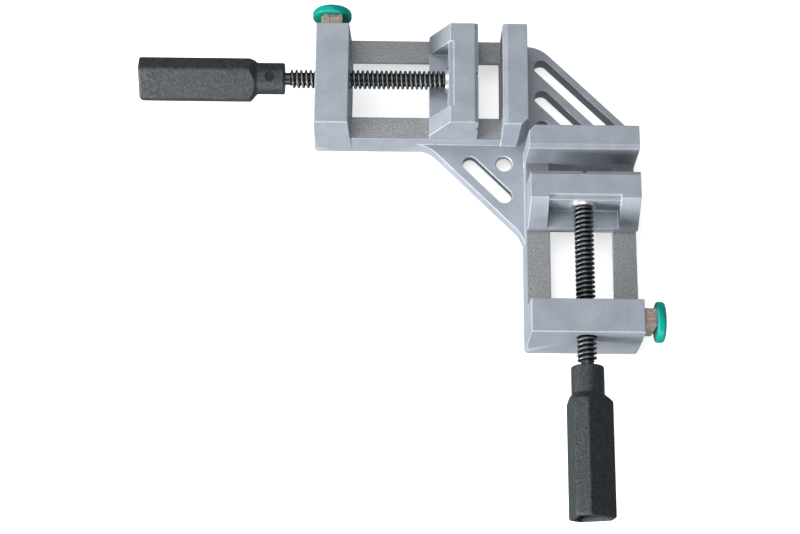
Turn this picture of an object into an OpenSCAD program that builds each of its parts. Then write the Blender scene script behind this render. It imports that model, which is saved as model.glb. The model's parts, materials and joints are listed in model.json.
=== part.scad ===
// Right-angle clamping vise: one L-shaped casting with two arms at 90 degrees. Each arm has a fixed
// jaw, a moving jaw that slides on two rails, a trapezoidal spindle with a three-sided handle, and a
// half nut on a sprung slide that a push button lifts off the spindle.
// Millimetres. +Z up. The origin is where the axis of the corner hole meets the bench. Arm A runs
// along -X and arm B along -Y; arm B is arm A mirrored in the plane X = Y.

/* [Arms] */
// Width of each arm across both rails
arm_w = 70; // [68:0.5:74]
// Distance from the corner hole to the near side of each arm
arm_in = 12.5; // [12:0.5:13.5]
// Distance from the corner hole to the outer face of each end block, at the bench
arm_len = 121.9; // [121:0.1:128]
// Width of the flat top of each rail
rail_w = 15.4; // [15:0.1:16]
// Height of the rail tops above the bench
rail_top = 19.3; // [19:0.1:20]
// Thickness of the rail flanges that the keeper plates run under
rail_t = 4; // [3.8:0.1:5.5]
// Thickness of the outer walls of the casting
wall_t = 4; // [3.5:0.1:4.5]
// Height of the jaws and end blocks above the bench
jaw_top = 45.5; // [45:0.1:47]
// Thickness of each end block along its arm, at the bench
block_t = 24.1; // [23.5:0.1:25]

/* [Fixed jaws] */
// Distance from the corner hole to each fixed clamping face
jaw_face = 2.2; // [2:0.1:3]
// Position of the back of each fixed jaw
jaw_back = 13.4; // [13:0.1:13.8]
// Size of the 45 degree cut where the two fixed jaws meet
jaw_cut = 5.4; // [5:0.1:6.4]

/* [Corner webs] */
// Height of the web tops above the bench
web_top = 11.3; // [11:0.1:12]
// Thickness of the web plates
web_t = 3.5; // [3:0.1:4]
// Diagonal distance code of the outer web edge: its points satisfy x + y = web_out
web_out = 106; // [104:0.5:108]
// The inner web edge satisfies x + y = -web_in
web_in = 36.3; // [36:0.1:37]
// Radius that blends the web edges into the arms
web_r = 20.5; // [19:0.5:21]
// Diameter of the two round fixing holes
hole_d = 10; // [9:0.5:10.5]
// Width of the three fixing slots
slot_w = 10; // [9:0.5:10]
// Spacing of the holes and slots, measured as a step in x + y
slot_step = 21.5; // [21:0.1:22]
// Distance of the far hole from the corner hole, along X and along Y
far_xy = 25; // [24.8:0.1:25.2]

/* [Moving jaws] */
// Gap between the jaws of arm A as drawn
open_a = 15.6; // [10:0.1:30]
// Gap between the jaws of arm B as drawn
open_b = 15; // [10:0.1:30]
// Length of a moving jaw along its arm at the rails
slider_l = 30.4; // [29:0.1:31]
// Thickness of the upper part of a moving jaw in front of its recess
slider_t = 18.6; // [18:0.1:19]
// Height of the ledge inside the recess
ledge_z = 24; // [23:0.5:26]
// Width of each end buttress of a moving jaw
buttress_w = 11.5; // [10:0.5:12]

/* [Spindles] */
// Outside diameter of the trapezoidal thread
thread_d = 12; // [12:0.1:12.2]
// Height of the spindle axes above the bench
spindle_z = 34; // [33.5:0.1:34.5]
// Distance from a moving clamping face to the end of the thread at the handle
thread_end = 119; // [118:0.5:121]
// Distance from a moving clamping face to the face of the handle collar
collar_face = 122.4; // [122:0.1:124]

/* [Handles] */
// Diameter of the collar
collar_d = 20; // [19:0.5:20.5]
// Length of the collar
collar_l = 17.4; // [17:0.1:18]
// Length of the three-sided grip
grip_l = 74.2; // [70:0.1:80]
// Width of the three broad facets of the grip
facet_long = 20.3; // [19:0.1:21]
// Width of the three narrow facets of the grip
facet_short = 9.3; // [9:0.1:10]
// Turn of handle A about its spindle
turn_a = 75.7; // [0:0.1:360]
// Turn of handle B about its spindle
turn_b = 203; // [0:0.1:360]

/* [Quick release] */
// Width of the release slide along the arm
slide_w = 13.4; // [13:0.1:13.6]
// Height of the release slide
slide_h = 15.5; // [15:0.1:16]
// Distance that a button travels into its block
press = 3.6; // [3:0.1:4]
// Diameter of the push buttons
button_d = 25; // [24:0.5:26]
// Thickness of the push buttons at the middle
button_t = 6; // [5.8:0.1:7]

/* [Hidden] */
$fn = 64;
eps = 0.01;                                   // overlap that keeps cuts clean
arm_out = arm_in + arm_w;
arm_mid = arm_in + arm_w / 2;
block_in = arm_len - block_t;                 // inner face of the end block, at the bench
block_mid = arm_len - 10.95;                  // axis of the push button
flare = 0.4;                                  // how far the casting spreads at the bench, each side
wall_draft = 1.2;                             // draft of the outer walls up to the rail tops
block_draft = 1.2;                            // draft of the blocks over their height
inner_draft = 1.9;                            // draft of the block face towards the jaws
jaw_draft = 0.5;                              // draft of the fixed jaws over their height
corner_draft = 1.4;                           // draft of their ends at the corner
edge_c = 0.4;                                 // small chamfer along top edges
wall_in = arm_in - flare + wall_draft * web_top / rail_top;     // outer wall at the web's top
plate_z = web_top - web_t;                    // underside of the web plates
flange_z = rail_top - rail_t;                 // underside of the rail flanges
out_arc = [web_out - arm_out - web_r * tan(22.5), arm_out - web_r];     // centres of the web arcs
in_arc = [-web_in - wall_in - web_r * tan(22.5), wall_in - web_r];
arc_cut = web_r * cos(45);
far_hole = [far_xy, far_xy];
slot_r = slot_w / 2;
slot_in = [[-slot_step, 0], [0, -slot_step]];
slot_mid = [[far_xy, far_xy + slot_step], [far_xy + slot_step, far_xy]];
slot_out = [[far_xy, far_xy + 2 * slot_step], [far_xy + 2 * slot_step, far_xy]];
spindle_fit = 0.3;                            // radial clearance of the thread in the block
nut_fit = 0.05;                               // radial clearance of the thread in the half nut
slide_fit = 0.1;                              // clearance of the slide in its channel, each side
slide_end = arm_mid - 10.5;                   // inner end of the release slide
slide_stop = slide_end - press - 0.4;         // inner end of its channel
slide_out = arm_out + 6.9;                    // face of the slide that carries the button
spring_end = slide_stop - 13;                 // closed end of the spring pocket
spring_d = 8.4;                               // outside diameter of the release springs
spring_wire = 1.1;
spring_turns = 7;
face_a = jaw_face + open_a;                   // distances of the moving clamping faces
face_b = jaw_face + open_b;
tongue_fit = 0.3;                             // clearance of the jaw's tongue between the rails
glide = 0.1;                                  // clearance of the jaw on the rails
keeper_top = flange_z - 0.2;
keeper_t = 4;
keeper_l = 24;
keeper_x = 3.5;                               // from the clamping face to the keeper plate
screw_r = 2.5;                                // keeper screws, M5
journal_r = 4;                                // plain end of the spindle inside the jaw
journal_s = 5.4;                              // its tip, from the clamping face
groove_s = 10.4;                              // middle of its groove
groove_r = 2.6;
dowel_r = 1.5;
washer_t = 2;
washer_r = 8;
shank_r = 3.9;                                // plain end of the spindle inside the handle
pin_s = collar_face + 9;                      // handle pin, from the clamping face
pin_head = 2.7;                               // radius of its heads
grip_s = collar_face + collar_l;
grip_end = grip_s + grip_l;
grip_wall = 2.4;
cone_slope = 0.85;                            // length of the grip's shoulder per mm of radius

// ---------------------------------------------------------------- placing

// Turns a shape drawn for arm A into its twin on arm B
module on_arm_b() {
    mirror([1, -1, 0]) children();
}

// Local z runs from the corner outwards along a spindle axis, and local y points up
module spindle_axis_a() {
    translate([0, arm_mid, spindle_z]) rotate([0, -90, 0]) rotate([0, 0, -90]) children();
}

module spindle_axis_b() {
    translate([arm_mid, 0, spindle_z]) rotate([90, 0, 0]) children();
}

// Local z runs out of the end block of arm A along its button axis
module button_axis() {
    translate([-block_mid, 0, spindle_z]) rotate([-90, 0, 0]) children();
}

// ---------------------------------------------------------------- shapes

// Extrudes an outline drawn in (x, z) along Y, from y0 to y1
module along_y(y0, y1) {
    translate([0, y1, 0]) rotate([90, 0, 0]) linear_extrude(y1 - y0) children();
}

// Extrudes an outline drawn in (y, z) along X, from x0 to x1
module along_x(x0, x1) {
    translate([x0, 0, 0]) rotate([90, 0, 90]) linear_extrude(x1 - x0) children();
}

// Side view of a drafted block: full width at the bottom, drawn in by d_lo and d_hi, chamfered at the top
module drafted_side(lo, hi, top, d_lo, d_hi) {
    c = edge_c;
    polygon([[lo, 0], [hi, 0], [hi - d_hi, top - c], [hi - d_hi - c, top], [lo + d_lo + c, top],
             [lo + d_lo, top - c]]);
}

module rounded_rect(lo, hi, r) {
    translate([lo.x + r, lo.y]) square([hi.x - lo.x - 2 * r, hi.y - lo.y]);
    translate([lo.x, lo.y + r]) square([hi.x - lo.x, hi.y - lo.y - 2 * r]);
    for (x = [lo.x + r, hi.x - r])
        for (y = [lo.y + r, hi.y - r])
            translate([x, y]) circle(r);
}

module slot_2d(ends, r) {
    span = ends[1] - ends[0];
    translate(ends[0]) circle(r);
    translate(ends[1]) circle(r);
    translate(ends[0]) rotate(atan2(span.y, span.x)) translate([0, eps - r])
        square([norm(span), 2 * (r - eps)]);
}

// Hexagon with alternating long and short sides; a long side's normal points along +y
module grip_2d(inset) {
    a = facet_long - inset * 2 / sqrt(3);
    b = facet_short - inset * 2 / sqrt(3);
    corner_r = sqrt((a * a + a * b + b * b) / 3);
    half = asin(a / 2 / corner_r);
    polygon([for (k = [0 : 2]) for (s = [-1, 1])
        corner_r * [cos(90 + 120 * k + s * half), sin(90 + 120 * k + s * half)]]);
}

// ---------------------------------------------------------------- casting

// Outer web between the backs of the fixed jaws, rounded where its long edge meets the arms
module outer_web_2d() {
    lo = jaw_back - 1;
    polygon([[lo, lo], [lo, arm_out], [out_arc.x, arm_out], out_arc + arc_cut * [1, 1],
             [out_arc.y, out_arc.x] + arc_cut * [1, 1], [arm_out, out_arc.x], [arm_out, lo]]);
    intersection() {
        union() {
            translate(out_arc) circle(web_r);
            translate([out_arc.y, out_arc.x]) circle(web_r);
        }
        translate([lo, lo]) square(arm_out);
    }
}

// Inner web that fills the outside of the corner, blended into both arms by concave arcs
module inner_web_2d() {
    hi = arm_in + 1;
    difference() {
        polygon([[hi, hi], [in_arc.x, hi], in_arc, in_arc + arc_cut * [1, 1],
                 [in_arc.y, in_arc.x] + arc_cut * [1, 1], [in_arc.y, in_arc.x], [hi, in_arc.x]]);
        for (p = [in_arc, [in_arc.y, in_arc.x]])
            translate(p) circle(web_r + 2 * eps);
    }
}

// Outlines of the spaces under the two webs
module outer_pocket_2d() {
    lo = jaw_back + wall_t;
    hi = arm_out - 1.5 * wall_t;
    in_cut = arc_cut - wall_t * cos(45);
    polygon([[lo, lo], [lo, hi], out_arc + in_cut * [1, 1], [out_arc.y, out_arc.x] + in_cut * [1, 1],
             [hi, lo]]);
}

module inner_pocket_2d() {
    hi = arm_in - wall_t;
    corner = -web_in + wall_t * sqrt(2) - hi;
    polygon([[hi, hi], [corner, hi], [hi, corner]]);
}

module web_solid() {
    linear_extrude(web_top) {
        outer_web_2d();
        inner_web_2d();
    }
    // floor of the channel between the two fixed jaws
    translate([-jaw_face + 1, -jaw_face + 1, 0]) cube([jaw_back + 8, jaw_back + 8, web_top]);
}

// Spaces under the web plates, leaving rims round the slots and the far hole
module web_pockets() {
    rim = 2.5;
    translate([0, 0, -eps]) linear_extrude(plate_z + eps) {
        difference() {
            outer_pocket_2d();
            slot_2d(slot_out, slot_r + rim);
            slot_2d(slot_mid, slot_r + rim);
            translate(far_hole) circle(hole_d / 2 + rim);
        }
        difference() {
            inner_pocket_2d();
            slot_2d(slot_in, slot_r + rim);
        }
    }
    // the rim round the inner slot stops above the bench
    translate([0, 0, -eps]) linear_extrude(plate_z - 3.3) inner_pocket_2d();
}

module web_holes() {
    c = 0.6;
    for (ends = [slot_in, slot_mid, slot_out])
        translate([0, 0, -1]) linear_extrude(web_top + 2) slot_2d(ends, slot_r);
    for (p = [[0, 0], far_hole])
        translate([p.x, p.y, 0]) {
            translate([0, 0, -1]) cylinder(h = web_top + 2, d = hole_d);
            translate([0, 0, web_top - c]) cylinder(h = c + eps, r1 = hole_d / 2, r2 = hole_d / 2 + c + eps);
        }
}

// Section of a rail in (y, z): a flange on a drafted wall; `in` points from the wall to the arm's middle
module rail_2d(edge, in) {
    polygon([[edge - in * flare, 0], [edge + in * wall_t, 0], [edge + in * wall_t, flange_z],
             [edge + in * rail_w, flange_z], [edge + in * rail_w, rail_top],
             [edge + in * (wall_draft - flare), rail_top]]);
}

module rails() {
    along_x(-block_in - 3, -jaw_face + 1) {
        rail_2d(arm_in, 1);
        rail_2d(arm_out, -1);
    }
}

module fixed_jaw() {
    lead_w = 2.8;
    lead_h = 1.2;
    y0 = arm_in - flare;
    y1 = arm_out + flare;
    intersection() {
        along_y(y0, y1) polygon([[-jaw_face, 0], [-jaw_face, jaw_top - lead_h],
            [-jaw_face + lead_w, jaw_top], [jaw_back - edge_c, jaw_top], [jaw_back, jaw_top - edge_c],
            [jaw_back + jaw_draft, 0]]);
        along_x(-jaw_face - 1, jaw_back + 2) drafted_side(y0, y1, jaw_top, corner_draft, jaw_draft);
        difference() {
            linear_extrude(jaw_top) rounded_rect([-jaw_face - 3, y0], [jaw_back + jaw_draft, y1], 1.5);
            // 45 degree cut beside the other jaw
            translate([jaw_back, arm_in + jaw_cut, 0]) rotate([0, 0, -45]) translate([0, -30, -1])
                cube([40, 60, jaw_top + 2]);
        }
    }
}

module fixed_jaw_pockets() {
    for (y = [[arm_in + jaw_cut + wall_t, arm_mid - 1.5], [arm_mid + 1.5, arm_out - wall_t]])
        translate([-jaw_face + wall_t, y[0], -eps])
            cube([jaw_back + jaw_face - 2 * wall_t, y[1] - y[0], jaw_top - 5]);
}

module end_block() {
    y0 = arm_in - flare;
    y1 = arm_out + flare;
    intersection() {
        along_y(y0, y1) drafted_side(-arm_len, -block_in, jaw_top, block_draft, inner_draft);
        along_x(-arm_len, -block_in) drafted_side(y0, y1, jaw_top, block_draft, block_draft);
        linear_extrude(jaw_top) rounded_rect([-arm_len, y0], [-block_in + 3, y1], 2.5);
    }
}

module end_block_cuts() {
    slide_top = slide_h / 2 + slide_fit;
    // spaces under the block
    for (y = [[arm_in + wall_t, arm_mid - 1.5], [arm_mid + 1.5, arm_out - wall_t]])
        translate([-arm_len + wall_t, y[0], -eps])
            cube([block_t - 2 * wall_t, y[1] - y[0], spindle_z - slide_top - wall_t]);
    // clearance bore of the spindle
    spindle_axis_a() translate([0, 0, block_in - 1])
        cylinder(h = block_t + 2, r = thread_d / 2 + spindle_fit);
    // channel of the release slide, and the pocket of its spring
    translate([-block_mid - slide_w / 2 - slide_fit, slide_stop, spindle_z - slide_top])
        cube([slide_w + 2 * slide_fit, arm_out - slide_stop + 1, 2 * slide_top]);
    button_axis() translate([0, 0, spring_end])
        cylinder(h = slide_stop - spring_end + 1, d = spring_d + 0.8);
}

module arm_casting() {
    rails();
    fixed_jaw();
    end_block();
}

module base_casting() {
    color("lightsteelblue") difference() {
        union() {
            arm_casting();
            on_arm_b() arm_casting();
            web_solid();
        }
        web_pockets();
        web_holes();
        fixed_jaw_pockets();
        on_arm_b() fixed_jaw_pockets();
        end_block_cuts();
        on_arm_b() end_block_cuts();
    }
}

// ---------------------------------------------------------------- moving jaw, drawn with its face at x = 0

// Side view of the moving jaw; `back` lists the corners from the rear of its top face down to the ledge
module slider_profile(back) {
    lead_w = 2.4;
    lead_h = 1.2;
    polygon(concat([[-slider_l, rail_top + glide], [0, rail_top + glide], [0, jaw_top - lead_h],
                    [-lead_w, jaw_top]], back, [[-slider_l, ledge_z]]));
}

module v_grooves() {
    groove = 2;
    // upright groove at the middle of the clamping face
    translate([0, arm_mid, rail_top - 8]) linear_extrude(jaw_top)
        polygon([[1, -groove - 1], [-groove, 0], [1, groove + 1]]);
    // level groove across the clamping face
    along_y(arm_in - 1, arm_out + 1)
        polygon([[1, spindle_z - groove], [-groove, spindle_z + 1], [1, spindle_z + groove + 2]]);
}

module moving_jaw_body() {
    tongue_lo = arm_in + rail_w + tongue_fit;
    tongue_hi = arm_out - rail_w - tongue_fit;
    rebate = 3.2;
    recess = [arm_in + 1.6 + buttress_w, arm_out - 1 - buttress_w];
    difference() {
        union() {
            intersection() {
                union() {
                    // middle, with an upright wall down to the ledge
                    along_y(recess[0], recess[1])
                        slider_profile([[-slider_t, jaw_top], [-slider_t, ledge_z]]);
                    // two sloping buttresses at the ends
                    for (y = [[arm_in, recess[0] + eps], [recess[1] - eps, arm_out + 1]])
                        along_y(y[0], y[1]) slider_profile([[1 - slider_t, jaw_top]]);
                }
                along_x(-slider_l - 1, 1) polygon([[arm_in + 0.6, 0], [arm_out + 0.3, 0],
                    [arm_out - 0.2, jaw_top], [arm_in + 1.8, jaw_top]]);
            }
            // tongue between the rails
            translate([-slider_l + 0.6, tongue_lo, keeper_top])
                cube([slider_l - 1.2, tongue_hi - tongue_lo, 8]);
        }
        // rebate along the top of the recess
        translate([-slider_t - 1, recess[0], jaw_top - 2])
            cube([1 + rebate, recess[1] - recess[0], 3]);
        v_grooves();
        // blind bore of the spindle's journal
        translate([-slider_t - 1, arm_mid, spindle_z]) rotate([0, 90, 0])
            cylinder(h = slider_t + 1 - journal_s + 0.4, r = journal_r + nut_fit);
        // hole of the dowel that holds the journal, from below
        translate([-groove_s, arm_mid + groove_r + dowel_r + 0.1, keeper_top - 1])
            cylinder(h = spindle_z + 4 - keeper_top + 1, r = dowel_r);
        // threads of the keeper screws
        for (y = [-1, 1]) translate([-slider_l / 2, arm_mid + y * 13, keeper_top - 1])
            cylinder(h = 10, r = screw_r);
    }
}

// Steel plate that hooks the jaw under both rails
module keeper_plate_body() {
    lip = wall_t + 0.8;
    translate([-keeper_x, 0, 0]) difference() {
        translate([-keeper_l, 0, keeper_top - keeper_t]) linear_extrude(keeper_t)
            rounded_rect([0, arm_in + lip], [keeper_l, arm_out - lip], 2);
        for (y = [-1, 1])
            translate([keeper_x - slider_l / 2, arm_mid + y * 13, 0]) {
                cylinder(h = jaw_top, r = screw_r + 0.25);
                translate([0, 0, keeper_top - keeper_t - eps]) cylinder(h = 2.6, r1 = 5.1, r2 = screw_r);
            }
    }
}

// Two countersunk screws with a hexagon socket
module keeper_screws_body() {
    bottom = keeper_top - keeper_t;
    for (y = [-1, 1]) translate([-slider_l / 2, arm_mid + y * 13, bottom]) difference() {
        union() {
            cylinder(h = 2.5, r1 = 5, r2 = screw_r - 0.1);
            cylinder(h = keeper_t + 8.5, r = screw_r - 0.05);
        }
        translate([0, 0, -eps]) cylinder(h = 2.2, d = 3.5, $fn = 6);
    }
}

module spindle_dowel_body() {
    translate([-groove_s, arm_mid + groove_r + dowel_r + 0.1, keeper_top + 0.2])
        cylinder(h = spindle_z + 3.4 - keeper_top, r = dowel_r - 0.03);
}

module thrust_washer_body() {
    translate([-slider_t, arm_mid, spindle_z]) rotate([0, -90, 0]) difference() {
        cylinder(h = washer_t, r = washer_r);
        translate([0, 0, -1]) cylinder(h = washer_t + 2, r = journal_r + 0.2);
    }
}

// ---------------------------------------------------------------- spindle and handle, z from the clamping face

module spindle_body() {
    shoulder = slider_t + washer_t + 0.05;
    color("#26282b") difference() {
        rotate_extrude() polygon([[0, journal_s], [journal_r - 0.5, journal_s], [journal_r, journal_s + 0.5],
            [journal_r, groove_s - 1.7], [groove_r, groove_s - 1.7], [groove_r, groove_s + 1.7],
            [journal_r, groove_s + 1.7], [journal_r, shoulder], [thread_d / 2 - 1.2, shoulder],
            [thread_d / 2, shoulder + 0.8], [thread_d / 2, thread_end - 0.5], [shank_r, thread_end],
            [shank_r, collar_face + collar_l - 0.4], [0, collar_face + collar_l - 0.4]]);
        translate([0, 0, pin_s]) rotate([0, 90, 0]) cylinder(h = 20, r = 1.6, center = true);
    }
}

// Hollow three-sided grip with a round collar
module handle_body(turn) {
    solid_l = 9;
    corner_r = sqrt((pow(facet_long, 2) + facet_long * facet_short + pow(facet_short, 2)) / 3);
    cone_l = (corner_r - collar_d / 2) * cone_slope;
    color("#2b2e30") rotate([0, 0, turn]) difference() {
        union() {
            translate([0, 0, collar_face]) cylinder(h = collar_l + 2, d = collar_d);
            intersection() {
                translate([0, 0, grip_s - 1]) linear_extrude(grip_l + 1) grip_2d(0);
                union() {
                    translate([0, 0, grip_s]) cylinder(h = cone_l, r1 = collar_d / 2, r2 = corner_r);
                    translate([0, 0, grip_s + cone_l - eps])
                        cylinder(h = grip_l - 1.2 - cone_l + eps, r = corner_r + 1);
                    translate([0, 0, grip_end - 1.2 - eps])
                        cylinder(h = 1.2 + eps, r1 = corner_r + 0.2, r2 = corner_r - 1);
                }
            }
        }
        // hollow of the grip
        translate([0, 0, grip_s + solid_l]) linear_extrude(grip_l) grip_2d(grip_wall);
        // blind bore of the spindle's shank
        translate([0, 0, collar_face - 1]) cylinder(h = collar_l + 1, r = shank_r + 0.02);
        // stepped cross hole of the pin
        translate([0, 0, pin_s]) rotate([0, 90, 0]) {
            cylinder(h = 30, r = 1.6, center = true);
            for (s = [-1, 1]) translate([0, 0, s * (collar_d / 2 + 3)])
                cylinder(h = 10.4, r = pin_head + 0.3, center = true);
        }
    }
}

// Pin through the collar and shank, with a slotted head at each end
module handle_pin_body(turn) {
    head_z = collar_d / 2 - 2.2;
    end_z = collar_d / 2 - 0.35;
    color("#1f2123") rotate([0, 0, turn]) translate([0, 0, pin_s]) rotate([0, 90, 0]) difference() {
        union() {
            cylinder(h = 2 * head_z, r = 1.55, center = true);
            for (s = [-1, 1]) translate([0, 0, s * (head_z + end_z) / 2])
                cylinder(h = end_z - head_z, r = pin_head, center = true);
        }
        for (s = [-1, 1]) translate([0, 0, s * end_z]) cube([8, 0.6, 1], center = true);
    }
}

// ---------------------------------------------------------------- quick release, drawn in arm A

// Slide with a long window: the thread rests in its inner end and clears it when the slide is pressed
module release_slide_body() {
    half_w = slide_w / 2;
    half_h = slide_h / 2;
    tip_c = 3;
    difference() {
        union() {
            translate([-block_mid - half_w, slide_end, spindle_z - half_h])
                cube([slide_w, slide_out - slide_end, slide_h]);
            button_axis() translate([0, 0, slide_out - eps]) cylinder(h = 4, r = 4);
        }
        // window: half nut at its inner end, bare clearance at its outer end
        spindle_axis_a() translate([0, 0, block_in - 5]) linear_extrude(block_t + 10) {
            circle(thread_d / 2 + nut_fit);
            translate([-press / 2, 0]) square([press, thread_d + 2 * nut_fit], center = true);
            translate([-press, 0]) circle(thread_d / 2 + spindle_fit);
        }
        // chamfer of the outer end, on the side away from the jaws
        translate([-block_mid - half_w, slide_out, spindle_z]) rotate([0, 0, 45])
            cube([tip_c, tip_c, 3 * slide_h], center = true);
        // parting line along the top
        translate([-block_mid - 1.5, slide_out - 12, spindle_z + half_h - 0.4]) cube([0.7, 13, 1]);
        // blind seat of the spring
        button_axis() translate([0, 0, slide_end - 1]) cylinder(h = 2.5, d = spring_d + 0.6);
    }
}

// Domed round button with a socket that takes the slide's tenon
module button_cap_body() {
    r = button_d / 2;
    rim = button_t - 1.4;
    dome_r = (r * r + 1.4 * 1.4) / (2 * 1.4) + 6;
    button_axis() translate([0, 0, slide_out]) difference() {
        intersection() {
            rotate_extrude() {
                translate([0, 0]) square([r - 1.5, button_t]);
                translate([0, 1.5]) square([r, rim - 2.5]);
                translate([r - 1.5, 1.5]) circle(1.5);
                translate([r - 1.5, rim - 1]) circle(1.5);
            }
            translate([0, 0, button_t - dome_r]) sphere(dome_r, $fn = 128);
        }
        translate([0, 0, -1]) cylinder(h = 5.4, r = 4.05);
    }
}

function ring(p, along, out, r, n) =
    [for (k = [0 : n - 1]) p + r * (cos(360 * k / n) * out + sin(360 * k / n) * along)];

// Compression spring along the button axis: a helix swept by a small octagon, ends closed flat
module release_spring_body() {
    n = 8;
    steps = 14 * spring_turns;
    z0 = spring_end + spring_wire / 2 + 0.1;
    z1 = slide_end + 1.4 - spring_wire / 2;
    coil_r = spring_d / 2 - spring_wire / 2;
    points = [for (i = [0 : steps])
        let (t = i / steps, a = 360 * spring_turns * t, out = [cos(a), sin(a), 0],
             ease = t - 0.45 * sin(360 * t) / (2 * PI))
        each ring(coil_r * out + [0, 0, z0 + (z1 - z0) * ease], [0, 0, 1], out, spring_wire / 2, n)];
    sides = [for (i = [0 : steps - 1]) for (k = [0 : n - 1])
        let (a = i * n + k, b = i * n + (k + 1) % n)
        each [[a, b, a + n], [b, b + n, a + n]]];
    caps = [[for (k = [n - 1 : -1 : 0]) k], [for (k = [0 : n - 1]) steps * n + k]];
    button_axis() polyhedron(points, concat(sides, caps), convexity = 8);
}

// ---------------------------------------------------------------- nodes

module moving_jaw_a() { color("lightsteelblue") translate([-face_a, 0, 0]) moving_jaw_body(); }
module keeper_plate_a() { color("darkgray") translate([-face_a, 0, 0]) keeper_plate_body(); }
module keeper_screws_a() { color("dimgray") translate([-face_a, 0, 0]) keeper_screws_body(); }
module spindle_dowel_a() { color("gray") translate([-face_a, 0, 0]) spindle_dowel_body(); }
module thrust_washer_a() { color("silver") translate([-face_a, 0, 0]) thrust_washer_body(); }
module spindle_a() { spindle_axis_a() translate([0, 0, face_a]) rotate([0, 0, turn_a]) spindle_body(); }
module handle_a() { spindle_axis_a() translate([0, 0, face_a]) handle_body(turn_a); }
module handle_pin_a() { spindle_axis_a() translate([0, 0, face_a]) handle_pin_body(turn_a); }
module release_slide_a() { color("rosybrown") release_slide_body(); }
module button_cap_a() { color("#08b596") button_cap_body(); }
module release_spring_a() { color("silver") release_spring_body(); }

module moving_jaw_b() { color("lightsteelblue") on_arm_b() translate([-face_b, 0, 0]) moving_jaw_body(); }
module keeper_plate_b() { color("darkgray") on_arm_b() translate([-face_b, 0, 0]) keeper_plate_body(); }
module keeper_screws_b() { color("dimgray") on_arm_b() translate([-face_b, 0, 0]) keeper_screws_body(); }
module spindle_dowel_b() { color("gray") on_arm_b() translate([-face_b, 0, 0]) spindle_dowel_body(); }
module thrust_washer_b() { color("silver") on_arm_b() translate([-face_b, 0, 0]) thrust_washer_body(); }
module spindle_b() { spindle_axis_b() translate([0, 0, face_b]) rotate([0, 0, turn_b]) spindle_body(); }
module handle_b() { spindle_axis_b() translate([0, 0, face_b]) handle_body(turn_b); }
module handle_pin_b() { spindle_axis_b() translate([0, 0, face_b]) handle_pin_body(turn_b); }
module release_slide_b() { color("rosybrown") on_arm_b() release_slide_body(); }
module button_cap_b() { color("#08b596") on_arm_b() button_cap_body(); }
module release_spring_b() { color("silver") on_arm_b() release_spring_body(); }

base_casting();
moving_jaw_a();
keeper_plate_a();
keeper_screws_a();
spindle_dowel_a();
thrust_washer_a();
spindle_a();
handle_a();
handle_pin_a();
release_slide_a();
button_cap_a();
release_spring_a();
moving_jaw_b();
keeper_plate_b();
keeper_screws_b();
spindle_dowel_b();
thrust_washer_b();
spindle_b();
handle_b();
handle_pin_b();
release_slide_b();
button_cap_b();
release_spring_b();
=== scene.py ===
"""Looks of the right-angle clamping vise: soft-edged castings, rolled trapezoidal threads, three-sided
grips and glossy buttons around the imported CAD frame. Everything is in metres, in the CAD frame."""

import json
import math

import bmesh
import bpy
import numpy as np
from mathutils import Matrix, Vector

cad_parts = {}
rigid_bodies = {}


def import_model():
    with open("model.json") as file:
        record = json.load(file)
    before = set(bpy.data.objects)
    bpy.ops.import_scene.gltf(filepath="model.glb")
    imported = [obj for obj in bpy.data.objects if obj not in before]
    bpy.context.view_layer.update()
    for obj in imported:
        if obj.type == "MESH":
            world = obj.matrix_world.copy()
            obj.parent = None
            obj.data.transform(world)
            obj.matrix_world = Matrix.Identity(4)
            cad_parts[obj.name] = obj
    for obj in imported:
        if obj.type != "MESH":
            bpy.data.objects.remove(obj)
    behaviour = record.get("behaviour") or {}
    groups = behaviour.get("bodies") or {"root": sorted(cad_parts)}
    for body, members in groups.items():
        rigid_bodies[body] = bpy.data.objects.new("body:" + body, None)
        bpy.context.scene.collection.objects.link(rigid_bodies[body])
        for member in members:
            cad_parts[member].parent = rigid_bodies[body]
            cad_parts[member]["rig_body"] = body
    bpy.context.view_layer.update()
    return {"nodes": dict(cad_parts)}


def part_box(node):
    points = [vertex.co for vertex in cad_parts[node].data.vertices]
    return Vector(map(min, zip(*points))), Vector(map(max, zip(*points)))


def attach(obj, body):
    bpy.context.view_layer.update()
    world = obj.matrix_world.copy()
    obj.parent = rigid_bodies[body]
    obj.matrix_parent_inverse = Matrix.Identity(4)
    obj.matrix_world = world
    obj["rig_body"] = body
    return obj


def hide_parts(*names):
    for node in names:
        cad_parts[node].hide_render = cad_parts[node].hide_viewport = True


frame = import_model()

MM = 0.001
ARMS = ("a", "b")
# each arm's own axes: x to the right as seen from the handle's end, y up, z out along the spindle
ARM_AXES = {
    "a": np.array([[0, -1, 0], [0, 0, 1], [-1, 0, 0]], float),
    "b": np.array([[1, 0, 0], [0, 0, 1], [0, -1, 0]], float),
}
# direction in which each button points
BUTTON_AXES = {"a": np.array([0.0, 1.0, 0.0]), "b": np.array([1.0, 0.0, 0.0])}


# ---------------------------------------------------------------- colours and shader nodes

def linear(hex_colour):
    """The linear RGBA of an sRGB hex colour: the standard two-part curve, alpha 1."""
    c = np.array([int(hex_colour[i:i + 2], 16) for i in (1, 3, 5)]) / 255
    c = np.where(c <= 0.04045, c / 12.92, ((c + 0.055) / 1.055) ** 2.4)
    return (*[float(x) for x in c], 1.0)


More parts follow.
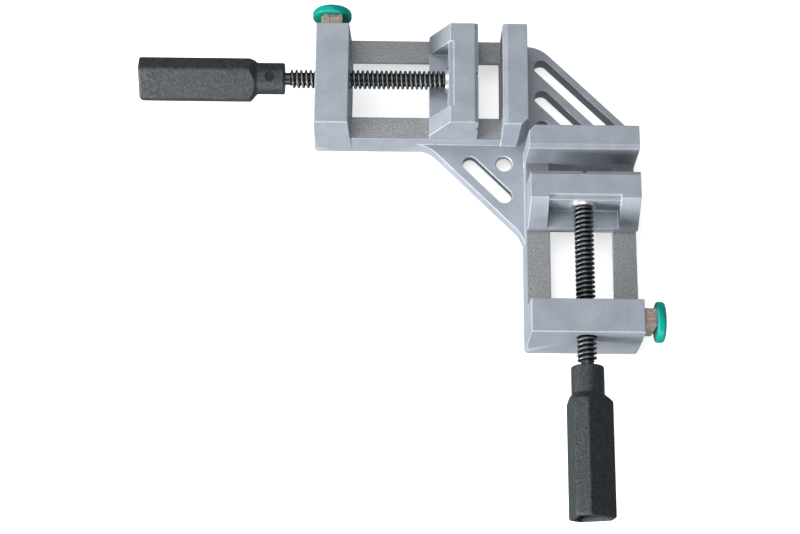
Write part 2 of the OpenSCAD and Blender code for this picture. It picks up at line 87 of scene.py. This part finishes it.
def add(tree, kind, inputs=(), out=0, stops=(), **settings):
    """Adds one node and returns one of its outputs. Inputs maps a socket's name or index to a value or to
    another node's output, and stops are a colour ramp's pairs of a place and a hex colour."""
    node = tree.nodes.new("ShaderNode" + kind)
    for key, value in settings.items():
        setattr(node, key, value)
    for _ in stops[2:]:
        node.color_ramp.elements.new(0.5)
    for i, (place, colour) in enumerate(stops):
        element = node.color_ramp.elements[i]
        element.position, element.color = place, linear(colour)
    for key, value in dict(inputs).items():
        if isinstance(value, bpy.types.NodeSocket):
            tree.links.new(value, node.inputs[key])
        else:
            node.inputs[key].default_value = value
    return node.outputs[out] if node.outputs else None


def material(name, **principled):
    """A material with a Principled surface of constant values: itself, its tree, its object coordinates and
    the surface. Socket names have _ for each space."""
    m = bpy.data.materials.new(name)
    m.use_nodes = True
    tree = m.node_tree
    tree.nodes.clear()
    shader = add(tree, "BsdfPrincipled", {k.replace("_", " "): v for k, v in principled.items()})
    add(tree, "OutputMaterial", {"Surface": shader})
    return m, tree, add(tree, "TexCoord", out="Object"), shader.node


def wire(tree, surface, **outputs):
    """Links outputs to the surface's sockets, whose names have _ for each space."""
    for key, output in outputs.items():
        tree.links.new(output, surface.inputs[key.replace("_", " ")])


def per(size_mm):
    """Noise scale whose blobs are about size_mm across."""
    return 1.0 / (size_mm * MM)


def soft_edges(tree, width_mm):
    """Normals that turn smoothly over every edge within a width, and a mask that is 1 along those edges."""
    rounded = add(tree, "Bevel", {"Radius": width_mm * MM}, samples=8)
    true = add(tree, "NewGeometry", out="True Normal")
    facing = add(tree, "VectorMath", {0: rounded, 1: true}, "Value", operation="DOT_PRODUCT")
    return rounded, add(tree, "MapRange", {0: facing, 1: 0.999, 2: 0.93, 3: 0.0, 4: 1.0})


# ---------------------------------------------------------------- materials

# height of the milled rail tops and how far from it a face still counts, m
RAIL_TOP = 0.0193
RAIL_TOP_LAYER = 0.0003


def coated_casting():
    """Die-cast aluminium with a thin blue-grey coat. The eye sees an even satin skin with a fine orange peel
    of about half a millimetre, edges painted lighter over half a millimetre as a painted highlight, and bare
    rail tops left by the milling cutter, mottled warm grey."""
    m, tree, where, surface = material("coated_die_cast_aluminium", Metallic=0.2, IOR=1.5)
    rounded, edge = soft_edges(tree, 0.55)
    clouds = add(tree, "TexNoise", {"Vector": where, "Scale": per(14), "Detail": 3})
    peel = add(tree, "TexNoise", {"Vector": where, "Scale": per(0.55), "Detail": 3, "Roughness": 0.6})
    grey = add(tree, "ValToRGB", {0: clouds}, stops=[(0.3, "#8b9199"), (0.7, "#989ea6")])
    flecks = add(tree, "ValToRGB", {0: peel}, stops=[(0.35, "#666c76"), (0.65, "#d9dee6")])
    skin = add(tree, "Mix", {0: 0.2, 6: grey, 7: flecks}, 2, data_type="RGBA", blend_type="OVERLAY")
    # painted highlight: the rounded edges are painted lighter, towards near white, in place of the light they
    # catch
    painted_edge_highlight = add(tree, "Math", {0: edge, 1: 0.75}, operation="MULTIPLY")
    edge_highlighted_skin = add(tree, "Mix", {0: painted_edge_highlight, 6: skin, 7: linear("#e4e9f2")}, 2, data_type="RGBA")
    # milled rail tops: the faces within a thin layer of height that look up
    height = add(tree, "SeparateXYZ", {0: where}, 2)
    upward = add(tree, "SeparateXYZ", {0: add(tree, "NewGeometry", out="True Normal")}, 2)
    level = add(tree, "Math", {0: height, 1: RAIL_TOP, 2: RAIL_TOP_LAYER}, operation="COMPARE")
    flat = add(tree, "Math", {0: upward, 1: 0.9}, operation="GREATER_THAN")
    milled = add(tree, "Math", {0: level, 1: flat}, operation="MULTIPLY")
    grain = add(tree, "TexNoise", {"Vector": where, "Scale": per(1.2), "Detail": 4, "Roughness": 0.75})
    clean = add(tree, "ValToRGB", {0: grain}, stops=[(0.35, "#646668"), (0.5, "#818487"), (0.65, "#9a9c9f")])
    stains = add(tree, "TexNoise", {"Vector": where, "Scale": per(9), "Detail": 3, "Roughness": 0.6})
    stained = add(tree, "MapRange", {0: stains, 1: 0.35, 2: 0.7, 3: 0.0, 4: 0.45})
    bare = add(tree, "Mix", {0: stained, 6: clean, 7: linear("#76787b")}, 2, data_type="RGBA")
    satin = add(tree, "MapRange", {0: peel, 1: 0.3, 2: 0.7, 3: 0.4, 4: 0.5})
    smoother = add(tree, "Math", {0: milled, 1: -0.05}, operation="MULTIPLY")
    relief = add(tree, "Mix", {0: milled, 6: peel, 7: grain}, 2, data_type="RGBA")
    wire(tree, surface,
         Base_Color=add(tree, "Mix", {0: milled, 6: edge_highlighted_skin, 7: bare}, 2, data_type="RGBA"),
         Roughness=add(tree, "Math", {0: satin, 1: smoother}, operation="ADD"),
         Normal=add(tree, "Bump", {"Height": relief, "Distance": 0.05 * MM, "Normal": rounded}))
    return m


def black_oxide_steel():
    """Rolled steel with an oiled black oxide, black all over; the crests are painted a satin grey, a painted
    highlight, where the vertex attribute "crest" nears 1."""
    m, tree, where, surface = material("black_oxide_steel", Metallic=0.8,
                                       Coat_Weight=0.15, Coat_Roughness=0.35)
    cloud = add(tree, "TexNoise", {"Vector": where, "Scale": per(2.5), "Detail": 3})
    rolled = add(tree, "TexNoise", {"Vector": where, "Scale": per(0.4)})
    oxide = add(tree, "ValToRGB", {0: cloud}, stops=[(0.3, "#0c0d0e"), (0.7, "#17181a")])
    highlight_grey = add(tree, "ValToRGB", {0: cloud}, stops=[(0.3, "#5a5f63"), (0.7, "#787e83")])
    crest = add(tree, "Attribute", out="Fac", attribute_name="crest")
    # painted highlight: the crests, and the plain ends at 0.7, are painted satin grey
    crest_highlight = add(tree, "MapRange", {0: crest, 1: 0.55, 2: 1.0, 3: 0.0, 4: 1.0})
    wire(tree, surface,
         Base_Color=add(tree, "Mix", {0: crest_highlight, 6: oxide, 7: highlight_grey}, 2, data_type="RGBA"),
         Roughness=add(tree, "MapRange", {0: cloud, 1: 0.3, 2: 0.7, 3: 0.36, 4: 0.46}),
         Normal=add(tree, "Bump", {"Height": rolled, "Distance": 0.02 * MM}))
    return m


def textured_powder_coat():
    """Charcoal powder coat on the die-cast grips, with a satin sheen. Its real grain of about half a
    millimetre is too fine to show, so it is drawn at 1.6 mm."""
    m, tree, where, surface = material("textured_powder_coat", Metallic=0.35, IOR=1.5)
    grain = add(tree, "TexNoise", {"Vector": where, "Scale": per(1.6), "Detail": 4, "Roughness": 0.75})
    cloud = add(tree, "TexNoise", {"Vector": where, "Scale": per(10)})
    even = add(tree, "ValToRGB", {0: cloud}, stops=[(0.3, "#22272a"), (0.7, "#292e32")])
    specks = add(tree, "ValToRGB", {0: grain}, stops=[(0.38, "#111315"), (0.62, "#474f53")])
    wire(tree, surface,
         Base_Color=add(tree, "Mix", {0: 0.5, 6: even, 7: specks}, 2, data_type="RGBA"),
         Roughness=add(tree, "MapRange", {0: grain, 1: 0.3, 2: 0.7, 3: 0.38, 4: 0.5}),
         Normal=add(tree, "Bump", {"Height": grain, "Distance": 0.4 * MM}))
    return m


def moulded_plastic():
    """Teal moulded plastic of the buttons: even colour, high gloss with a faint waviness."""
    m, tree, where, surface = material("teal_moulded_plastic", IOR=1.49, Roughness=0.3,
                                       Specular_IOR_Level=0.2)
    cloud = add(tree, "TexNoise", {"Vector": where, "Scale": per(8)})
    waves = add(tree, "TexNoise", {"Vector": where, "Scale": per(4), "Detail": 1})
    wire(tree, surface,
         Base_Color=add(tree, "ValToRGB", {0: cloud}, stops=[(0.3, "#008a7c"), (0.7, "#009587")]),
         Normal=add(tree, "Bump", {"Height": waves, "Distance": 0.03 * MM}))
    return m


def sintered_steel():
    """Sintered half-nut slide: dull metal grains in pinkish brown, grey and olive. They are drawn at 1.5 mm,
    because the real ones are too fine to show."""
    m, tree, where, surface = material("sintered_steel", Metallic=0.45)
    rounded, edge = soft_edges(tree, 0.35)
    grains = add(tree, "TexNoise", {"Vector": where, "Scale": per(1.5), "Detail": 4, "Roughness": 0.75})
    tint = add(tree, "TexNoise", {"Vector": where, "Scale": per(2.2), "Detail": 3, "Roughness": 0.7})
    light = add(tree, "ValToRGB", {0: grains}, stops=[(0.35, "#4c423d"), (0.5, "#9a8c83"), (0.65, "#d8cbc3")])
    hue = add(tree, "ValToRGB", {0: tint}, stops=[(0.38, "#76806a"), (0.5, "#9a8c84"), (0.62, "#bd8c84")])
    body = add(tree, "Mix", {0: 0.5, 6: light, 7: hue}, 2, data_type="RGBA")
    # painted highlight: the rounded edges are painted lighter, towards a pale pinkish grey, in place of the
    # light they catch
    painted_edge_highlight = add(tree, "Math", {0: edge, 1: 0.3}, operation="MULTIPLY")
    wire(tree, surface,
         Base_Color=add(tree, "Mix", {0: painted_edge_highlight, 6: body, 7: linear("#cfc4bc")}, 2, data_type="RGBA"),
         Roughness=add(tree, "MapRange", {0: grains, 1: 0.3, 2: 0.7, 3: 0.42, 4: 0.6}),
         Normal=add(tree, "Bump", {"Height": grains, "Distance": 0.08 * MM, "Normal": rounded}))
    return m


def bright_zinc():
    """Bright zinc plate on the small steel parts: light satin metal with faint brushing clouds."""
    m, tree, where, surface = material("bright_zinc", Metallic=1.0)
    cloud = add(tree, "TexNoise", {"Vector": where, "Scale": per(3), "Detail": 3})
    brushed = add(tree, "TexNoise", {"Vector": where, "Scale": per(0.6)})
    wire(tree, surface,
         Base_Color=add(tree, "ValToRGB", {0: cloud}, stops=[(0.3, "#cfd0ce"), (0.7, "#e6e6e2")]),
         Roughness=add(tree, "MapRange", {0: cloud, 1: 0.3, 2: 0.7, 3: 0.34, 4: 0.42}),
         Normal=add(tree, "Bump", {"Height": brushed, "Distance": 0.004 * MM}))
    return m


def paper_floor():
    """White paper on a light table: matte, with a very faint fibre, lit evenly from below."""
    m, tree, where, surface = material("white_paper", Roughness=0.9, Emission_Strength=0.62)
    fibre = add(tree, "TexNoise", {"Vector": where, "Scale": per(3), "Detail": 3})
    paper = add(tree, "ValToRGB", {0: fibre}, stops=[(0.3, "#f8f8f8"), (0.7, "#fcfcfc")])
    wire(tree, surface, Base_Color=paper, Emission_Color=paper)
    return m


# ---------------------------------------------------------------- meshes

def new_piece(name, mesh, body, slot_name, materials, *nodes):
    """Links a finished mesh as a piece that rides on a body and stands for CAD nodes."""
    piece = bpy.data.objects.new(name, mesh)
    bpy.context.scene.collection.objects.link(piece)
    for m in materials:
        mesh.materials.append(m)
    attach(piece, body)
    if nodes:
        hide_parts(*nodes)
    return piece


def full_turn(steps):
    """Angles of a whole turn in equal steps, with both ends."""
    return np.linspace(0, 2 * math.pi, steps + 1)


def mesh_from_grid(name, points):
    """A closed skin from a grid of points (rows, columns, 3), whose last column lies on its first: each cell
    is a quad, and points that coincide, as at the seam, poles and trimmed ends, are merged. Faces point
    outwards."""
    rows, columns = points.shape[:2]
    index = np.arange(rows * columns).reshape(rows, columns)
    quads = np.stack([index[:-1, :-1], index[:-1, 1:], index[1:, 1:], index[1:, :-1]], -1).reshape(-1, 4)
    mesh = bpy.data.meshes.new(name)
    mesh.from_pydata(points.reshape(-1, 3).tolist(), [], quads.tolist())
    bm = bmesh.new()
    bm.from_mesh(mesh)
    bmesh.ops.remove_doubles(bm, verts=bm.verts, dist=2e-7)
    bmesh.ops.dissolve_degenerate(bm, edges=bm.edges, dist=1e-7)
    bmesh.ops.recalc_face_normals(bm, faces=bm.faces)
    bm.to_mesh(mesh)
    bm.free()
    mesh.shade_smooth()
    return mesh


def merged_copy(node, name, angle_deg, finish, slot_name):
    """A fresh mesh of a CAD node with its doubled points merged, so that curved faces shade smoothly."""
    source = frame["nodes"][node]
    bm = bmesh.new()
    bm.from_mesh(source.data)
    bmesh.ops.remove_doubles(bm, verts=bm.verts, dist=1e-6)
    bm.verts.index_update()
    mesh = bpy.data.meshes.new(name)
    mesh.from_pydata([v.co[:] for v in bm.verts], [], [[v.index for v in f.verts] for f in bm.faces])
    bm.free()
    mesh.shade_smooth()
    mesh.set_sharp_from_angle(angle=math.radians(angle_deg))
    return new_piece(name, mesh, source["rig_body"], slot_name, [finish], node)


# ---------------------------------------------------------------- sizes taken from the frame

# distance of a spindle's tip from the moving clamping face, mm
TIP = 5.4
# a point on each spindle's axis, m, and the distance of its moving clamping face from the corner, mm
AXIS = {}
FACE = {}
for arm in ARMS:
    lo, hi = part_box("spindle_" + arm)
    AXIS[arm] = 0.5 * (np.array(lo) + np.array(hi))
    FACE[arm] = -(hi[0] if arm == "a" else hi[1]) / MM - TIP


def along_spindle(arm, x, y, s):
    """World points for arm-local x, y and a distance s from the moving clamping face, all in mm."""
    e = ARM_AXES[arm]
    start = AXIS[arm].copy()
    start[0 if arm == "a" else 1] = 0.0
    return (start + MM * (np.expand_dims(x, -1) * e[0] + np.expand_dims(y, -1) * e[1]
                          + np.expand_dims(s + FACE[arm], -1) * e[2]))


# ---------------------------------------------------------------- spindles

# trapezoidal thread and where it starts and ends from the clamping face, mm
PITCH = 3.0
CREST_R = 6.0
THREAD_DEPTH = 1.9
THREAD_FROM, THREAD_TO = 20.65, 118.9
# half width of the thread at its root and of one flank along the axis, mm
ROOT_HALF, FLANK = 0.95, 0.62
# radius at the thread's first and last section and the length over which it reaches the crest, mm
RUN_IN_R, RUN_IN, CHAMFER_R, CHAMFER = 4.6, 0.9, 4.2, 0.5
# phases of one turn at which rows lie, closest where the flanks bend
PHASES = np.array([-1.5, -1.2, -0.95, -0.9, -0.8, -0.68, -0.53, -0.33, 0.0, 0.33, 0.53, 0.68, 0.8, 0.9, 0.95,
                   1.2])
# distance and radius of the rings before the thread (tip, journal with its dowel groove, plain end) and of
# those after it (the shank inside the handle)
JOURNAL = [(TIP, 0), (TIP, 3.5), (5.9, 4), (8.7, 4), (8.7, 2.6), (12.1, 2.6), (12.1, 4), (THREAD_FROM, 4)]
SHANK = [(THREAD_TO, 3.9), (139.4, 3.9), (139.4, 0)]


def thread_height(phase_mm):
    """Height above the root at a distance along the axis: rounded crest, steep flanks, open flat root,
    repeated every pitch."""
    d = np.abs((phase_mm + PITCH / 2) % PITCH - PITCH / 2)
    t = np.clip((ROOT_HALF - d) / FLANK, 0, 1)
    return THREAD_DEPTH * (1 - (1 - t) ** 2) ** 0.8


def spindle_piece(arm):
    """Spindle as a surface of two parameters: the angle round the axis, and rows that follow the helix.
    A row's distance along the axis is its phase plus pitch x angle / full turn, held between the ends of
    the thread, and its radius is root plus thread height, cut by a cone at both ends."""
    angle = full_turn(72)
    lead = PITCH * angle[None, :] / (2 * math.pi)
    turns = np.arange(math.ceil((THREAD_TO - THREAD_FROM) / PITCH) + 2)
    rows = (THREAD_FROM - PITCH + turns[:, None] * PITCH + PHASES[None, :]).ravel()
    s = np.clip(rows[:, None] + lead, THREAD_FROM, THREAD_TO)
    r = CREST_R - THREAD_DEPTH + thread_height(s - lead - THREAD_FROM)
    run_in = RUN_IN_R + (CREST_R - RUN_IN_R) * (s - THREAD_FROM) / RUN_IN
    chamfer = CHAMFER_R + (CREST_R - CHAMFER_R) * (THREAD_TO - s) / CHAMFER
    r = np.minimum(r, np.minimum(run_in, chamfer))
    before, after = (np.array(rings, float)[:, :, None] * np.ones(len(angle)) for rings in (JOURNAL, SHANK))
    s = np.vstack([before[:, 0], s, after[:, 0]])
    r = np.vstack([before[:, 1], r, after[:, 1]])
    points = along_spindle(arm, r * np.cos(angle), r * np.sin(angle), s)
    mesh = mesh_from_grid("trapezoidal_spindle_" + arm, points)
    mesh.set_sharp_from_angle(angle=math.radians(50))
    # how near each point is to the crest, from its distance to the axis, for the painted highlight on the
    # crests; plain ends get 0.7, a partial painted highlight
    e = ARM_AXES[arm]
    place = (np.array([v.co[:] for v in mesh.vertices]) - AXIS[arm]) / MM
    reach = np.hypot(place @ e[0], place @ e[1])
    along = place @ e[2] + (AXIS[arm] @ e[2]) / MM - FACE[arm]
    threaded = (along > THREAD_FROM + 0.2) & (along < THREAD_TO - 0.1)
    crest = np.where(threaded, (reach - CREST_R + THREAD_DEPTH) / THREAD_DEPTH, 0.7)
    mesh.attributes.new("crest", "FLOAT", "POINT").data.foreach_set("value", crest.astype(np.float32))
    return new_piece("trapezoidal_spindle_" + arm, mesh, "spindle_" + arm, "black_steel", [BLACK_STEEL],
                     "spindle_" + arm)


# ---------------------------------------------------------------- handles

# how far each handle is turned round its spindle, degrees
TURN = {"a": 75.7, "b": 203.0}
# distance of the collar's face from the clamping face, the collar's radius and length, the grip's length, mm
COLLAR_FACE, COLLAR_R, COLLAR_L, GRIP_L = 122.4, 10.0, 17.4, 74.2
GRIP_START = COLLAR_FACE + COLLAR_L
GRIP_END = GRIP_START + GRIP_L
# the grip's broad and narrow sides and its wall, mm
BROAD_SIDE, NARROW_SIDE, WALL = 20.3, 9.3, 2.4
# roundings of the grip's edges, its hollow's edges, its end and the collar's rim, mm
GRIP_EDGE, HOLLOW_EDGE, END_EDGE, COLLAR_EDGE = 1.7, 0.7, 1.6, 0.8
# width of the soft change from cone to grip, and the cone's length over its rise in radius
SHOULDER_BLEND, CONE_SLOPE = 0.35, 0.85
# bore for the shank; the cross pin's distance from the collar's face, its flat seats' radius and how far
# from the axis they lie, mm
BORE_R = 3.92
PIN_AT, SEAT_R, SEAT_OFFSET = 9.0, 3.0, 9.2


def grip_radius(angle, inset, corner):
    """Distance from the axis to the grip's skin in a direction: a hexagon of three broad and three narrow
    sides, drawn in by corner and swollen out again by it, so that its edges are rounded, less an inset."""
    broad = (BROAD_SIDE + 2 * NARROW_SIDE) / (2 * math.sqrt(3))
    narrow = (2 * BROAD_SIDE + NARROW_SIDE) / (2 * math.sqrt(3))
    normals = math.pi / 2 + np.arange(6) * math.pi / 3
    reach = np.where(np.arange(6) % 2 == 0, broad, narrow) - inset - corner
    # corners of the drawn-in hexagon
    nx, ny = np.cos(normals), np.sin(normals)
    mx, my, mr = np.roll(nx, -1), np.roll(ny, -1), np.roll(reach, -1)
    det = nx * my - ny * mx
    cx, cy = (reach * my - mr * ny) / det, (nx * mr - mx * reach) / det
    ux, uy = np.cos(angle)[:, None], np.sin(angle)[:, None]
    flat = (reach + corner) / np.maximum(nx * ux + ny * uy, 1e-6)
    # a flat side counts only where the ray meets it between its two corners
    best = np.full(angle.shape, 1e9)
    for k in range(6):
        fx, fy = flat[:, k] * ux[:, 0], flat[:, k] * uy[:, 0]
        along = -ny[k] * fx + nx[k] * fy
        t0 = -ny[k] * cx[k - 1] + nx[k] * cy[k - 1]
        t1 = -ny[k] * cx[k] + nx[k] * cy[k]
        facing = nx[k] * ux[:, 0] + ny[k] * uy[:, 0] > 0.05
        best = np.where(facing & (along >= t0 - 1e-9) & (along <= t1 + 1e-9), flat[:, k], best)
    # otherwise the ray meets the circle round a corner
    dot = ux * cx + uy * cy
    off = cx ** 2 + cy ** 2 - dot ** 2
    arc = dot + np.sqrt(np.maximum(corner ** 2 - off, 0))
    arc = np.where((off <= corner ** 2) & (dot > 0), arc, -1e9).max(1)
    return np.where(best < 1e8, best, arc)


def handle_piece(arm):
    """Handle as a profile carried along the axis: collar with eased rims and two pin seats, a conical
    shoulder that runs into the three-sided grip, a rounded end with a thin rim, and the hollow inside."""
    angle = full_turn(240)
    outer, inner = grip_radius(angle, 0, GRIP_EDGE), grip_radius(angle, WALL, HOLLOW_EDGE)
    # rows of (distance, radius), the radius one number all round or one for each angle
    rows = [(GRIP_START, 0), (GRIP_START, BORE_R), (COLLAR_FACE, BORE_R), (COLLAR_FACE, 6.5)]
    ease = np.radians(np.linspace(0, 90, 6))
    rows += [(COLLAR_FACE + COLLAR_EDGE * (1 - math.cos(t)), COLLAR_R - COLLAR_EDGE * (1 - math.sin(t)))
             for t in ease]
    rows += [(s, COLLAR_R) for s in np.arange(COLLAR_FACE + 1.2, GRIP_START - 0.7, 0.3)]
    # shoulder: the smaller of the cone and the grip, blended over about a millimetre
    for s in np.linspace(GRIP_START - 0.6, GRIP_START + 6.0, 34):
        cone = COLLAR_R + np.logaddexp(0, (s - GRIP_START) / 0.3) * 0.3 / CONE_SLOPE
        rows.append((s, -SHOULDER_BLEND * np.logaddexp(-cone / SHOULDER_BLEND, -outer / SHOULDER_BLEND)))
    rows += [(s, outer) for s in np.linspace(GRIP_START + 8, GRIP_END - 2.0, 12)]
    rows += [(GRIP_END - END_EDGE * (1 - math.sin(t)), outer - END_EDGE * (1 - math.cos(t)))
             for t in ease[1:]]
    rows += [(GRIP_END, inner + 0.25), (GRIP_END - 0.25, inner)]
    rows += [(s, inner) for s in np.linspace(GRIP_END - 4, GRIP_START + 10, 10)]
    rows += [(GRIP_START + 9, inner - 0.8), (GRIP_START + 9, 0)]
    s = np.array([row[0] for row in rows])[:, None] + 0 * angle
    r = np.array([row[1] + 0 * angle for row in rows])
    turn = math.radians(TURN[arm])
    x, y = r * np.cos(angle), r * np.sin(angle)
    # pin seats: inside the seat's radius the collar is cut flat
    seat = (np.hypot(s - (COLLAR_FACE + PIN_AT), y) < SEAT_R) & (np.abs(x) > 9.0) & (r > SEAT_OFFSET)
    x = np.where(seat, np.sign(x) * SEAT_OFFSET, x)
    points = along_spindle(arm, x * math.cos(turn) - y * math.sin(turn),
                           x * math.sin(turn) + y * math.cos(turn), s)
    mesh = mesh_from_grid("three_sided_handle_" + arm, points)
    mesh.set_sharp_from_angle(angle=math.radians(45))
    return new_piece("three_sided_handle_" + arm, mesh, "spindle_" + arm, "grip", [POWDER_COAT],
                     "handle_" + arm)


# ---------------------------------------------------------------- buttons

# radius, rounding of the back's lip and of the front's rim, and rise of the dome, mm
BUTTON_R, LIP, RIM, DOME = 12.5, 1.2, 2.0, 0.7
# socket for the slide's spigot, mm
SOCKET_R, SOCKET_DEPTH = 4.05, 4.4


def button_piece(arm):
    """Push button turned round its axis: flat back with a rounded lower lip, straight rim, wide fillet and a
    shallow dome, the radius given at each height of the profile."""
    lo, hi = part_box("button_cap_" + arm)
    axis = BUTTON_AXES[arm]
    k = int(np.argmax(axis))
    centre = 0.5 * (np.array(lo) + np.array(hi))
    centre[k] = lo[k]
    top = (hi[k] - lo[k]) / MM
    flat = BUTTON_R - RIM
    arc = np.radians(np.linspace(0, 90, 9))
    profile = [(0.0, SOCKET_DEPTH), (SOCKET_R, SOCKET_DEPTH), (SOCKET_R, 0.0), (BUTTON_R - 1.5, 0.0)]
    profile += [(BUTTON_R - LIP * (1 - math.sin(a)), LIP * (1 - math.cos(a))) for a in arc]
    profile += [(flat + RIM * math.cos(a), top - DOME - RIM * (1 - math.sin(a))) for a in arc]
    profile += [(q, top - DOME * (q / flat) ** 2) for q in np.linspace(flat - 0.6, 0.9, 10)]
    # small moulding gate at the middle
    profile += [(0.7 * math.cos(a), top - 0.05 + 0.4 * math.sin(a)) for a in np.radians([0, 30, 60, 90])]
    radius, height = np.array(profile).T
    angle = full_turn(96)
    side, up = np.cross(axis, [0, 0, 1.0]), np.array([0, 0, 1.0])
    points = centre + MM * (radius[:, None, None] * (np.cos(angle)[None, :, None] * side
                                                     + np.sin(angle)[None, :, None] * up)
                            + height[:, None, None] * axis)
    mesh = mesh_from_grid("push_button_" + arm, points)
    mesh.set_sharp_from_angle(angle=math.radians(50))
    return new_piece("push_button_" + arm, mesh, "release_" + arm, "button", [TEAL], "button_cap_" + arm)


# ---------------------------------------------------------------- making

CAST = coated_casting()
BLACK_STEEL = black_oxide_steel()
POWDER_COAT = textured_powder_coat()
TEAL = moulded_plastic()
SINTERED = sintered_steel()
ZINC = bright_zinc()

merged_copy("base_casting", "corner_casting", 20, CAST, "casting")
for arm in ARMS:
    merged_copy("moving_jaw_" + arm, "sliding_jaw_" + arm, 20, CAST, "casting")
    merged_copy("release_slide_" + arm, "half_nut_slide_" + arm, 20, SINTERED, "sintered")
    spindle_piece(arm)
    handle_piece(arm)
    button_piece(arm)
    for node, finish in [("keeper_plate", ZINC), ("keeper_screws", BLACK_STEEL), ("spindle_dowel", ZINC),
                         ("thrust_washer", ZINC), ("handle_pin", BLACK_STEEL), ("release_spring", ZINC)]:
        mesh = frame["nodes"][node + "_" + arm].data
        mesh.materials.clear()
        mesh.materials.append(finish)

# floor: paper 12 m wide, 0.2 mm below the feet so that they don't share its plane
corners = [(-6, -6, -0.0002), (6, -6, -0.0002), (6, 6, -0.0002), (-6, 6, -0.0002)]
floor_mesh = bpy.data.meshes.new("floor")
floor_mesh.from_pydata(corners, [], [(0, 1, 2, 3)])
floor_mesh.materials.append(paper_floor())
floor = bpy.data.objects.new("floor", floor_mesh)
bpy.context.scene.collection.objects.link(floor)
# its own glow neither lights the vise nor mirrors in it
floor.visible_diffuse = False
floor.visible_glossy = False

# studio softboxes: place, the point they face, width and height, power
for name, place, target, size, power in [
        ("key_softbox", (-1.38, -0.75, 0.28), (-0.03, 0.0, 0.02), (0.9, 0.5), 49),
        ("front_softbox", (-0.1, -1.5, 0.25), (-0.05, -0.05, 0), (1.2, 0.4), 15),
        ("overhead_softbox", (-0.5, 0.2, 1.7), (-0.05, -0.05, 0), (1.6, 1.4), 20)]:
    lamp = bpy.data.lights.new(name, "AREA")
    lamp.shape = "RECTANGLE"
    lamp.size, lamp.size_y = size
    lamp.energy = power
    softbox = bpy.data.objects.new(name, lamp)
    bpy.context.scene.collection.objects.link(softbox)
    softbox.location = place
    softbox.rotation_euler = (Vector(target) - Vector(place)).to_track_quat("-Z", "Y").to_euler()

world = bpy.data.worlds.new("studio")
bpy.context.scene.world = world
world.use_nodes = True
world.node_tree.nodes["Background"].inputs["Color"].default_value = linear("#f4f6f8")
world.node_tree.nodes["Background"].inputs["Strength"].default_value = 0.33
bpy.context.scene.view_settings.view_transform = "Standard"

# camera above the bench in front of the tool, looking down and slightly back
camera_data = bpy.data.cameras.new("camera")
camera_data.sensor_width = 36.0
camera_data.lens = 77.227
camera_data.clip_start, camera_data.clip_end = 0.05, 20
camera = bpy.data.objects.new("camera", camera_data)
bpy.context.scene.collection.objects.link(camera)
look = Vector((0.0038, 0.3104, -0.9506)).normalized()
up = Vector((-0.011, 0.9506, 0.3103))
right = look.cross(up).normalized()
up = right.cross(look)
camera.matrix_world = Matrix.Translation((-0.0699, -0.4038, 1.0336)) @ Matrix(
    ((right.x, up.x, -look.x), (right.y, up.y, -look.y), (right.z, up.z, -look.z))).to_4x4()
bpy.context.scene.camera = camera
